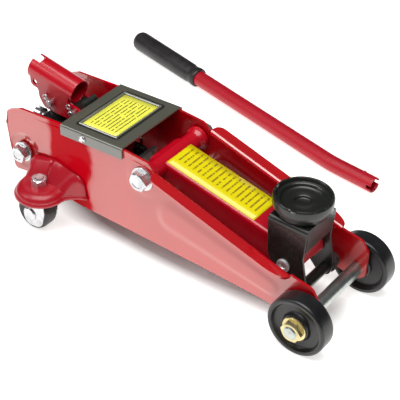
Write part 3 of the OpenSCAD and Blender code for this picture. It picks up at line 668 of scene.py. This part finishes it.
def cover():
    """Folded sheet with a rolled ridge round the label and turned-down sides; the gutter round the ridge
    gets a dark paint as painted shade and the ridge's crest a light paint as a painted highlight.
    """
    thick, side, drop, bend = 2.0, 51.4, 11, 3.0
    mid_u, half_u = LABEL_FROM + LABEL_SIZE[0] / 2, LABEL_SIZE[0] / 2 + 1.6
    half_v = LABEL_SIZE[1] / 2 + 1.6

    def from_frame(u, y):
        du, dv = abs(u - mid_u) - half_u, abs(y) - half_v
        return hypot(max(du, 0), max(dv, 0)) + min(max(du, dv), 0)

    def height(u, y):
        away = from_frame(u, y)
        ridge = 1.1 * (1 - smoothstep(0.2, 1.3, abs(away)))
        gutter = -0.5 * (smoothstep(1.2, 2.2, away) - smoothstep(2.8, 4.2, away))
        panel = -0.5 if away < 0 else 0
        return thick + ridge + gutter + panel * smoothstep(0.4, 1.9, abs(away))

    flat = side - bend
    ys = sorted({-flat + 2 * flat * k / 130 for k in range(131)})
    rows = []
    steps = 104
    for i in range(steps + 1):
        u = COVER_LEN * i / steps
        line = [(u, -side, -drop + (drop + thick - bend) * k / 6) for k in range(6)]
        line += [(u, -side + bend - bend * cos(radians(a)), thick - bend + bend * sin(radians(a)))
                 for a in (0, 22.5, 45, 67.5)]
        line += [(u, y, height(u, y)) for y in ys]
        line += [(u, -y, w) for _, y, w in reversed(line[:10])]
        rows.append(on_cover(line))
    sheet = thick_sheet("cover_plate_sheet", rows, 1.8, OLIVE, flip=True, edge=0.35)
    sheet.data.materials.append(GROOVE_PAINTED_SHADE)
    sheet.data.materials.append(RIDGE_PAINTED_HIGHLIGHT)
    for face in sheet.data.polygons:
        x, y, z = face.center / MM
        u = (x - COVER_X[0]) * cos(COVER_TILT) + (z - COVER_Z[0]) * sin(COVER_TILT)
        away = from_frame(u, y)
        if abs(y) < flat:
            # ridge crest faces take the painted highlight (2), gutter faces the painted shade (1)
            face.material_index = 2 if abs(away) < 0.8 else 1 if 0 < away < 3.8 else 0
    finish_piece(sheet, "chassis", "olive_paint", "cover_plate")
    parts = []
    for s in (-1, 1):
        at = on_cover([(30, s * (side + 0.1), -5.5)])[0]
        head = turned("screw", [(0, 0), (4.2, 0), (4.1, 1.2), (3.2, 2.1), (1.4, 2.4), (0, 2.45)],
                      at, (0, s, 0), ZINC, 40)
        parts.append(head)
        slot_at = on_cover([(30, s * (side + 2.05), -5.5)])[0]
        # painted shade: a dark bar on each screw head where the slot's recess would be in shade
        parts.append(painted_slot_shade(slot_at, (7.4, 0.9, 1.1), -COVER_TILT + 0.5, BLACK_CAST_AND_SLOT_SHADE))
    finish_piece(joined("cover_screws_detail", parts), "chassis", "zinc", "cover_screws")
    border = 0.6
    hu, hv = LABEL_SIZE[0] / 2 - border, LABEL_SIZE[1] / 2 - border
    label = sheet_label("cover_label_film", [
        [on_cover([(mid_u - hu + 2 * hu * i / 8, -hv + 2 * hv * k / 8, thick - 0.5 + 0.08)])[0]
         for k in range(9)] for i in range(9)], 0.25, COVER_FILM)
    finish_piece(label, "chassis", "label_yellow", "cover_label")


def painted_slot_shade(at, size, turn, material):
    """A small dark bar of painted shade that reads as the shaded recess of a screwdriver slot."""
    bm = bmesh.new()
    bmesh.ops.create_cube(bm, size=1)
    obj = from_bmesh("slot", bm, material)
    scale = Matrix.Diagonal((size[0] * MM, size[1] * MM, size[2] * MM, 1))
    obj.data.transform(Matrix.Translation(Vector(at) * MM) @ Matrix.Rotation(turn, 4, "Y") @ scale)
    return bevel(obj, 0.1, 1)


def sheet_label(name, rows, thick, material):
    bm = bmesh.new()
    grid_faces(bm, rows)
    obj = from_bmesh(name, bm, material, recalc=False)
    solid = obj.modifiers.new("thickness", "SOLIDIFY")
    solid.thickness = thick * MM
    solid.offset = 1
    return obj


def film(name, ground, ink, origin, along, across, lines, spans, rows, density):
    """Yellow printed film: plain broken bars, worked out from the film's own directions.
    origin and directions are in the jack's frame; spans are (from, to) across, rows along."""
    mat, tree, shader = new_material(name)
    links = tree.links

    def math(operation, *values):
        return maths(tree, operation, *values)

    def dot(direction):
        sub = tree.nodes.new("ShaderNodeVectorMath")
        sub.operation = "SUBTRACT"
        links.new(object_coords(tree), sub.inputs[0])
        sub.inputs[1].default_value = Vector(origin) * MM
        node = tree.nodes.new("ShaderNodeVectorMath")
        node.operation = "DOT_PRODUCT"
        links.new(sub.outputs[0], node.inputs[0])
        node.inputs[1].default_value = direction
        return math("MULTIPLY", node.outputs["Value"], 1000)

    u, v = dot(along), dot(across)
    pitch = (rows[1] - rows[0]) / lines
    phase = math("FRACT", math("DIVIDE", math("SUBTRACT", u, rows[0]), pitch))
    in_line = math("MULTIPLY", math("GREATER_THAN", phase, 0.3), math("LESS_THAN", phase, 0.62))
    row_no = math("FLOOR", math("DIVIDE", math("SUBTRACT", u, rows[0]), pitch))
    combine = tree.nodes.new("ShaderNodeCombineXYZ")
    links.new(math("MULTIPLY", row_no, 7.31), combine.inputs[0])
    links.new(math("MULTIPLY", v, density), combine.inputs[1])
    dash = tree.nodes.new("ShaderNodeTexNoise")
    dash.inputs["Scale"].default_value = 1.0
    dash.inputs["Detail"].default_value = 1.0
    links.new(combine.outputs[0], dash.inputs["Vector"])
    word = math("GREATER_THAN", dash.outputs["Fac"], 0.4)
    zone = math("MULTIPLY", math("GREATER_THAN", v, spans[0]), math("LESS_THAN", v, spans[1]))
    band = math("MULTIPLY", math("GREATER_THAN", u, rows[0]), math("LESS_THAN", u, rows[1]))
    mask = math("MULTIPLY", math("MULTIPLY", in_line, word), math("MULTIPLY", zone, band))
    tint = ramp(tree, noise(tree, 40, 3), [(0.3, tuple(c * 0.93 for c in ground)), (0.7, ground)])
    links.new(mix(tree, mask, tint, ink), shader.inputs["Base Color"])
    shader.inputs["Roughness"].default_value = 0.32
    shader.inputs["Coat Weight"].default_value = 0.35
    bump(tree, shader, noise(tree, 120, 2), 0.05, 0.0004)
    return mat


ARM_SLOPE = atan2(116 - 82.4, 134 + 32)
COVER_FILM = film("cover_film", (1.0, 0.98, 0.1), (0.2, 0.19, 0.03),
                  (COVER_X[0] + 17, 0, COVER_Z[0] + 2), (cos(COVER_TILT), 0, sin(COVER_TILT)),
                  (0, 1, 0), 8, (-30, 29), (5, 42), 0.3)
ARM_FILM = film("arm_film", (0.85, 0.72, 0.0), (0.32, 0.22, 0.01),
                (-31, 0, 115.8), (cos(ARM_SLOPE), 0, -sin(ARM_SLOPE)), (0, 1, 0),
                17, (-8.5, 18), (4, 108), 0.5)


# ---------------------------------------------------------------- lift arm
ARM_WALL = [(-51, 111, 6), (-32, 110.5, 12), (133.6, 77, 7), (136.6, 60, 8), (126, 44, 8),
            (108, 45, 10), (10, 72, 30), (-24, 84, 12), (-54, 68, 6), (-66, 64, 9),
            (-77, 72, 9), (-56, 104, 14)]
ARM_Y = 23.5


def lift_arm():
    """Channel: two cheek walls, and a top web rolled down at the back and nose."""
    walls = []
    for y0, y1 in ((-ARM_Y + 0.06, -ARM_Y + 3), (ARM_Y - 3, ARM_Y - 0.06)):
        walls.append(plate("wall", rounded(ARM_WALL), y0, y1, RED, 0.5, 2))
    back = arc(-43.5, 106.5, 10.5, 166, 90, 12)
    top = [(-43.5 + (-31 + 43.5) * k / 4, 117 - 1.2 * k / 4) for k in range(1, 5)]
    run = [(-31 + (128 + 31) * k / 40, 115.8 - (115.8 - 83.6) * k / 40) for k in range(1, 41)]
    nose = [(132.5, 81.9), (134.4, 80), (135.3, 77), (136, 70), (136.6, 63)]
    path = back + top + run + nose
    radius = 4.0
    rows = []
    for i, (x, z) in enumerate(path):
        a, b = path[max(0, i - 1)], path[min(len(path) - 1, i + 1)]
        t = Vector((b[0] - a[0], b[1] - a[1])).normalized()
        n = Vector((t.y, -t.x))
        section = [(-ARM_Y, 9), (-ARM_Y, radius)]
        section += [(-ARM_Y + radius - radius * cos(radians(q)), radius - radius * sin(radians(q)))
                    for q in (22.5, 45, 67.5, 90)]
        section += [(-ARM_Y + radius + (2 * ARM_Y - 2 * radius) * k / 8, 0) for k in range(1, 8)]
        section += [(-y, d) for y, d in reversed(section[:6])]
        rows.append([(x + n.x * d, y, z + n.y * d) for y, d in section])
    web = thick_sheet("web", rows, 2.8, RED, flip=True, edge=0.3)
    arm = joined("lift_arm_channel", [*walls, web])
    finish_piece(arm, "arm", "red_paint", "lift_arm")
    collars = []
    for s in (-1, 1):
        profile = [(7.1, 0), (10.4, 0), (10.4, 11), (10.9, 13), (12.6, 15), (13.3, 17),
                   (13.3, 21.2), (12.8, 21.8), (7.1, 21.8), (7.1, 0)]
        collars.append(turned("collar", profile, (PIVOT[0], s * 23.6, PIVOT[1]), (0, s, 0), RED, 72))
    collars.append(turned("tube", [(7.1, 0), (10.4, 0), (10.4, 47), (7.1, 47), (7.1, 0)],
                          (PIVOT[0], -23.5, PIVOT[1]), (0, 1, 0), RED, 48))
    finish_piece(joined("arm_pivot_collars", collars), "arm", "red_paint", "arm_pivot_tube")
    c, s = cos(ARM_SLOPE), sin(ARM_SLOPE)
    rows = [[(-31 + u * c, y, 115.95 - u * s) for y in (-20.6, -10, 0, 10, 20.6)]
            for u in (2.8 * k for k in range(41))]
    label = sheet_label("arm_label_film", rows, 0.3, ARM_FILM)
    finish_piece(label, "arm", "label_yellow", "arm_label")


# ---------------------------------------------------------------- yoke and saddle
YOKE_OUTLINE = [(98.5, 114.5, 2), (144.5, 114.5, 2), (142, 78, 0), (149.5, 42, 8), (145, 27, 8),
                (133, 26, 7), (112, 48, 10), (101, 70, 20)]


def yoke():
    """Bent U bracket: round-shouldered top and two flat flanges."""
    lower = [(x, min(z, 110), r) if z > 112 else (x, z, r) for x, z, r in YOKE_OUTLINE]
    lower[0], lower[1] = (98.5, 110, 0), (144.2, 110, 0)
    flanges = [plate("flange", rounded(lower), y0, y1, BLACK, 0.5, 2)
               for y0, y1 in ((-26.95, -24), (24, 26.95))]
    radius, y = 4.5, 27
    section = [(-y, 107), (-y, 114.5 - radius)]
    section += [(-y + radius - radius * cos(radians(q)), 114.5 - radius + radius * sin(radians(q)))
                for q in (22.5, 45, 67.5, 90)]
    section += [(-y + radius + (2 * y - 2 * radius) * k / 8, 114.5) for k in range(1, 8)]
    section += [(-a, b) for a, b in reversed(section[:6])]
    rows = [[(98.5 + 46 * k / 12 - 0.3 * (1 - (b - 107) / 7.5) * k / 12, a, b) for a, b in section]
            for k in range(13)]
    top = thick_sheet("top", rows, 3, BLACK, flip=True, edge=0.5)
    front = [[(x, y, z) for y in (-23.9 + 47.8 * k / 12 for k in range(13))]
             for x, z in ((144.45, 112), (144.4, 106), (143.9, 98), (143.4, 91), (143.1, 86))]
    apron = thick_sheet("apron", front, 2.5, BLACK, flip=True, edge=0.4)
    finish_piece(joined("saddle_yoke_bracket", [*flanges, top, apron]), "yoke", "black_paint",
                 "saddle_yoke")


def pins():
    """Tie rod studs, let into the side plates, and the yoke's pin with dished heads."""
    studs = [turned("stud", [(0, 0), (4.6, 0), (5, 0.4), (5, 19.8), (7, 19.8), (7, 22.3), (0, 22.3)],
                    (ROD_STUD[0], s * 48.8, ROD_STUD[1]), (0, -s, 0), ZINC, 40) for s in (-1, 1)]
    finish_piece(joined("tie_rod_studs_turned", studs), "chassis", "zinc", "tie_rod_studs")
    head = [(0, 1.5), (3, 1.5), (3.8, 0.3), (4.6, 0), (6.6, 0), (7.4, 0.7), (7.4, 2.2), (6, 2.3)]
    profile = head + [(q, 58.4 - h) for q, h in reversed(head)]
    pin = turned("yoke_pivot_pin_turned", profile, (YOKE_PIN[0], -29.2, YOKE_PIN[1]), (0, 1, 0),
                 PIN_ZINC, 48)
    finish_piece(pin, "yoke", "zinc", "yoke_pivot_pin")


def saddle():
    """Round cup: lathe-turned steps, with two gaps in the raised rim."""
    base, rim = 114.8, 134.5
    profile = [(0, base), (25.6, base), (26.6, base + 0.8), (27.4, base + 3.6), (28.6, base + 5.8),
               (30.2, base + 8.0), (30.8, base + 9.4), (31, base + 11), (31, rim - 2.2),
               (30.6, rim - 0.9), (29.6, rim), (28.2, rim), (27.3, rim - 0.8), (26.8, rim - 2.6),
               (26.2, rim - 3.4), (24.2, rim - 3.8), (22.9, rim - 4.6), (22.3, rim - 6.4),
               (21.2, rim - 7.4), (18, rim - 7.8), (10.2, rim - 8.2), (9.2, rim - 8.8),
               (8.8, rim - 10.4), (8, rim - 11), (0, rim - 11)]
    sides = 144
    bm = bmesh.new()
    rows = []
    for radius, h in profile:
        row = []
        for k in range(sides):
            a = 2 * pi * k / sides
            gap = max(1 - smoothstep(4, 7, abs((a - radians(g) + pi) % (2 * pi) - pi) * 180 / pi)
                      for g in (193, 283))
            drop = 1.7 * gap if h > rim - 1.2 and radius > 26.9 else 0
            row.append((121 + radius * cos(a), radius * sin(a), h - drop))
        rows.append(row)
    grid_faces(bm, rows, closed=True)
    cup = from_bmesh("cup", bm, BLACK, 40)
    post = turned("post", [(0, 0), (9, 0), (9, 12.5), (0, 12.5)], (121, 0, 103), (0, 0, 1), BLACK, 48)
    finish_piece(joined("saddle_cup_turned", [cup, post]), "saddle_cup", "black_paint", "saddle")


# ---------------------------------------------------------------- wheels
def front_wheels():
    """Dished wheels with a rounded tread, rolled rim and raised hub."""
    profile = [(7.6, 0), (12, 0), (13.2, 1), (13.6, 4), (25, 5), (27, 1.6), (28.6, 0.2), (31, 0),
               (32.2, 0.6), (32.9, 1.8), (33, 3.2), (33, 16.6), (32.8, 18.2), (32, 19.3),
               (30.6, 20), (29.2, 20), (27.9, 19.4), (27.2, 18), (26.4, 15.6), (25.4, 14.6),
               (23.6, 14.2), (17.6, 14), (16, 14.6), (15, 16), (14.4, 18.2), (13.4, 19),
               (7.6, 19.1), (7.6, 0)]
    x, z = AXLE
    for side, s in (("right", -1), ("left", 1)):
        wheel = turned(f"front_wheel_{side}_rim", profile, (x, s * 50.2, z), (0, s, 0), WHEEL, 128)
        finish_piece(wheel, f"wheel_{side}", "wheel_black", f"front_wheel_{side}")
    parts = []
    for s in (-1, 1):
        parts.append(washer("w", (x, s * 69.5, z), (0, s, 0), 7.6, 13.4, 2.6, YELLOW_ZINC, 0.5))
        parts.append(hex_head("n", (x, s * 72.1, z), (0, s, 0), 20.5, 6.6, YELLOW_ZINC, False))
    finish_piece(joined("axle_nuts_detail", parts), "chassis", "yellow_zinc", "axle_nuts")
    rod = turned("front_axle_rod", [(0, 0), (1.5, 0.9), (3, 0.5), (6.2, 0), (7.5, 1.2), (7.5, 158.8),
                                    (6.2, 160), (3, 159.5), (1.5, 159.1), (0, 160 - 0.9)],
                 (x, -80, z), (0, 1, 0), STEEL, 64)
    finish_piece(rod, "chassis", "bare_steel", "front_axle")


def castors():
    """Black wheels in zinc forks, on king pins."""
    wheel_x, wheel_z = CASTOR_WHEEL
    half = [(3.1, 10), (7.4, 10), (8.4, 9.1), (14, 8.9), (15.6, 9.7), (16.8, 10), (18, 9.7),
            (19.2, 8.9), (20, 7.6), (20.4, 6), (20.5, 4.4)]
    profile = [(q, -w) for q, w in half] + [(q, w) for q, w in reversed(half)] + [(3.1, -10)]
    leg = rounded([(-171, 45.8, 6), (-148.5, 45.8, 6), (-147, 26.5, 10), (-151, 8, 10),
                   (-170.5, 5.5, 8), (-176, 15, 7), (-170, 31, 8)])
    for side, s, tag in (("right", -1, "r"), ("left", 1, "l")):
        wheel = turned(f"castor_wheel_{side}_tread", profile, (wheel_x, s * CASTOR_Y, wheel_z),
                       (0, 1, 0), TREAD, 96)
        finish_piece(wheel, f"castor_wheel_{tag}", "castor_tread", f"castor_wheel_{side}")
        parts = [plate("leg", leg, s * CASTOR_Y + y0, s * CASTOR_Y + y1, ZINC, 0.5, 2)
                 for y0, y1 in ((-12.5, -10.6), (10.6, 12.5))]
        bm = bmesh.new()
        bmesh.ops.create_cube(bm, size=1)
        crown = from_bmesh("crown", bm, ZINC)
        crown.data.transform(Matrix.Translation(Vector((-160.5, s * CASTOR_Y, 44.6)) * MM)
                             @ Matrix.Diagonal((0.0215, 0.0248, 0.0025, 1)))
        parts.append(bevel(crown, 0.8, 3))
        fork = joined(f"castor_fork_{side}_pressing", parts)
        finish_piece(fork, f"castor_{side}", "zinc", f"castor_fork_{side}")
        head = [(0, 0), (8.2, 0), (8.2, 0.9), (7.2, 1.8), (3, 2.1), (0, 2.1)]
        parts = [turned("head", head, (wheel_x, s * CASTOR_Y + t * 12.5, wheel_z), (0, t, 0), ZINC, 48)
                 for t in (-1, 1)]
        parts.append(turned("pin", [(0, 0), (3, 0), (3, 25), (0, 25)],
                            (wheel_x, s * CASTOR_Y - 12.5, wheel_z), (0, 1, 0), ZINC, 32))
        axle = joined(f"castor_axle_{side}_rivet", parts)
        finish_piece(axle, f"castor_{side}", "zinc", f"castor_axle_{side}")
    parts = []
    for s in (-1, 1):
        at = (KING_PIN_X, s * CASTOR_Y)
        profile = [(0, 0), (7.4, 0), (7.4, 1.2), (5, 1.3), (5, 22.6), (4.2, 23.6), (0, 23.6)]
        parts.append(turned("pin", profile, (*at, 41.7), (0, 0, 1), ZINC, 40))
        parts.append(hex_head("nut", (*at, 56.3), (0, 0, 1), 16, 7.6, ZINC, False))
        parts.append(washer("washer", (*at, 54), (0, 0, 1), 5.1, 9.8, 2.2, ZINC, 0.3))
    finish_piece(joined("castor_king_pins_detail", parts), "chassis", "zinc", "castor_king_pins")


# ---------------------------------------------------------------- pump socket
SOCKET_TILT = radians(9.6)
SOCKET_FRONT = Vector((-165, 0, 135.5))
FULCRUM, PLUNGER = (-162, 117), (-193, 118)
CHEEK_OUTLINE = [(-222.5, 140, 2), (-222, 129.5, 6), (-211.5, 128.5, 4), (-210, 118, 6),
                 (-203, 108, 7),
                 (-188, 107, 7), (-168, 106.5, 8), (-152, 110, 8), (-151, 122, 3),
                 (-160, 124.5, 3), (-169.5, 126, 2), (-169, 137, 2), (-221, 146, 2)]


def socket():
    """Rolled tube, notched at the top of its mouth, welded between two cheek plates."""
    r, wall, long = 12, 2, 62
    back = Vector((-cos(SOCKET_TILT), 0, sin(SOCKET_TILT)))
    up = Vector((sin(SOCKET_TILT), 0, cos(SOCKET_TILT)))
    side = Vector((0, 1, 0))
    bm = bmesh.new()
    sides, steps = 80, 31
    notch_from, notch_half = long - 11, 25
    rings = []
    for i in range(steps + 1):
        h = long * i / steps
        rings.append([bm.verts.new((SOCKET_FRONT + back * h + up * r * cos(2 * pi * k / sides)
                                    + side * r * sin(2 * pi * k / sides)) * MM)
                      for k in range(sides)])
    for i, (a, b) in enumerate(zip(rings, rings[1:])):
        for k in range(sides):
            angle = (360 * (k + 0.5) / sides + 180) % 360 - 180
            if abs(angle) < notch_half and long * (i + 0.5) / steps > notch_from:
                continue
            j = (k + 1) % sides
            bm.faces.new((a[k], b[k], b[j], a[j]))
    for v in [v for v in bm.verts if not v.link_faces]:
        bm.verts.remove(v)
    tube = from_bmesh("tube", bm, RED, recalc=False)
    solid = tube.modifiers.new("thickness", "SOLIDIFY")
    solid.thickness = wall * MM
    solid.offset = -1
    bevel(tube, 0.5, 2, 50)
    cheeks = [pierced("cheek", rounded(CHEEK_OUTLINE), (-216, 134.8, 3), y0, y1, RED, 0.6)
              for y0, y1 in ((-14, -11), (11, 14))]
    finish_piece(joined("handle_socket_welded", [tube, *cheeks]), "socket", "red_paint",
                 "handle_socket")
    for name, at, head, body in (("fulcrum_pin", FULCRUM, 6, "chassis"),
                                 ("plunger_pin", PLUNGER, 6.5, "socket")):
        pin = turned(f"{name}_turned", [(0, 0), (3.2, 0), (4, 0.8), (4, 33.2), (head - 0.5, 33.3),
                                        (head, 33.8), (head, 35.8), (head - 0.8, 36.4), (0, 36.5)],
                     (at[0], -19, at[1]), (0, 1, 0), ZINC, 48)
        finish_piece(pin, body, "zinc", name)


def sweep(name, points, radius, material, sides=10):
    """A round wire along points in mm."""
    pts = [Vector(p) for p in points]
    normal = None
    bm = bmesh.new()
    rows = []
    for i, p in enumerate(pts):
        t = (pts[min(i + 1, len(pts) - 1)] - pts[max(i - 1, 0)]).normalized()
        if normal is None:
            normal = t.orthogonal().normalized()
        normal = (normal - t * normal.dot(t)).normalized()
        other = t.cross(normal)
        rows.append([tuple(p + radius * (cos(2 * pi * k / sides) * normal
                                         + sin(2 * pi * k / sides) * other)) for k in range(sides)])
    verts = grid_faces(bm, rows, closed=True)
    bm.faces.new(verts[0])
    bm.faces.new(verts[-1])
    return from_bmesh(name, bm, material, 60)


def springs():
    """Two close-wound extension springs with hooked ends."""
    x0, x1, z, coil, turns = -141, -84, 88.3, 4.4, 26
    parts = []
    for s in (-1, 1):
        y = 12 * s
        pts = [(x0 - 5, y, z), (x0 - 1.5, y, z + coil * 0.6)]
        pts += [(x0 + (x1 - x0) * k / (turns * 16), y + coil * sin(2 * pi * k / 16),
                 z + coil * cos(2 * pi * k / 16)) for k in range(turns * 16 + 1)]
        pts += [(x1 + 1.5, y, z + coil * 0.6), (x1 + 4.5, y, z)]
        parts.append(sweep("coil", pts, 0.8, SPRING, 8))
    coils = joined("return_springs_wound", parts)
    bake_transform(coils)
    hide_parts("return_springs")


# ---------------------------------------------------------------- handle
def handle():
    """Bent tube with a slotted tip, and a round-ended rubber grip."""
    grip_r, r, straight, bend, bend_r, tip = 12.5, 9.5, 343, radians(7.5), 150, 52
    sink = atan2(grip_r - r, straight + tip)
    place = (Matrix.Translation(Vector((-314, 291.5, grip_r)) * MM)
             @ Matrix.Rotation(radians(-12.2), 4, "Z") @ Matrix.Rotation(sink, 4, "Y"))
    stations = [(6 + (straight - 6) * k / 20, 0, 0) for k in range(21)]
    stations += [(straight + bend_r * sin(bend * k / 10), bend_r * (1 - cos(bend * k / 10)), bend * k / 10)
                 for k in range(1, 11)]
    ex, ey, _ = stations[-1]
    stations += [(ex + h * cos(bend), ey + h * sin(bend), bend)
                 for h in (10, 20, 30, 40, 44, 45.8, 47, 49, 51, 51.7, 52)]
    sides = 64
    bm = bmesh.new()
    rings = []
    for i, (x, y, a) in enumerate(stations):
        rr = r - (0.5 if i == len(stations) - 1 else 0.12 if i == len(stations) - 2 else 0)
        rings.append([bm.verts.new(Vector((x - rr * cos(t) * sin(a), y + rr * cos(t) * cos(a),
                                           rr * sin(t))) * MM)
                      for t in (2 * pi * k / sides for k in range(sides))])
    slot_half = 0.25
    for i, (a, b) in enumerate(zip(rings, rings[1:])):
        for k in range(sides):
            t = 2 * pi * (k + 0.5) / sides
            if i >= len(rings) - 6 and min(t, abs(t - pi), 2 * pi - t) < slot_half:
                continue
            j = (k + 1) % sides
            bm.faces.new((a[k], a[j], b[j], b[k]))
    for v in [v for v in bm.verts if not v.link_faces]:
        bm.verts.remove(v)
    tube = from_bmesh("handle_tube_bent", bm, TUBE_RED, recalc=False)
    tube.data.transform(place)
    solid = tube.modifiers.new("thickness", "SOLIDIFY")
    solid.thickness = 1.6 * MM
    solid.offset = -1
    finish_piece(tube, "handle", "red_paint", "handle_tube")
    profile = [(0, 0), (4.5, 0.15), (8, 0.9), (10.4, 2.3), (11.9, 4.6), (12.5, 8), (12.45, 40),
               (12.35, 75), (12.2, 103), (11.9, 105.5), (11.5, 107.5), (11.4, 110),
               (11.55, 112.4), (12.1, 114), (12.3, 115.5), (12.3, 118.6), (12, 120.2),
               (11.2, 121), (9.6, 121)]
    grip = turned("handle_grip_moulded", profile, (0, 0, 0), (1, 0, 0), GRIP, 96)
    grip.data.transform(place)
    finish_piece(grip, "handle", "grip_rubber", "handle_grip")


camera()
stage()
finishes = {"red_paint": RED, "black_paint": BLACK, "olive_paint": OLIVE, "zinc": ZINC,
            "yellow_zinc": YELLOW_ZINC, "bare_steel": STEEL, "cast_black": BLACK_CAST_AND_SLOT_SHADE,
            "label_yellow": OLIVE, "wheel_black": WHEEL, "castor_tread": TREAD, "grip_rubber": GRIP}
slot_of = {part["node"]: part["material_slot"] for part in frame["record"]["subparts"]}
for name, obj in nodes.items():
    obj.data.materials.clear()
    obj.data.materials.append(finishes[slot_of[name]])

plate_right = side_plate("side_plate_right_pressing")
plate_left = mirrored("side_plate_left_pressing", plate_right)
finish_piece(plate_right, "chassis", "red_paint", "side_plate_right")
finish_piece(plate_left, "chassis", "red_paint", "side_plate_left")
bracket_right = castor_bracket("castor_bracket_right_pressing")
bracket_left = mirrored("castor_bracket_left_pressing", bracket_right)
finish_piece(bracket_right, "chassis", "red_paint", "castor_bracket_right")
finish_piece(bracket_left, "chassis", "red_paint", "castor_bracket_left")
bolts()
cover()
lift_arm()
yoke()
pins()
saddle()
front_wheels()
castors()
socket()
springs()
handle()
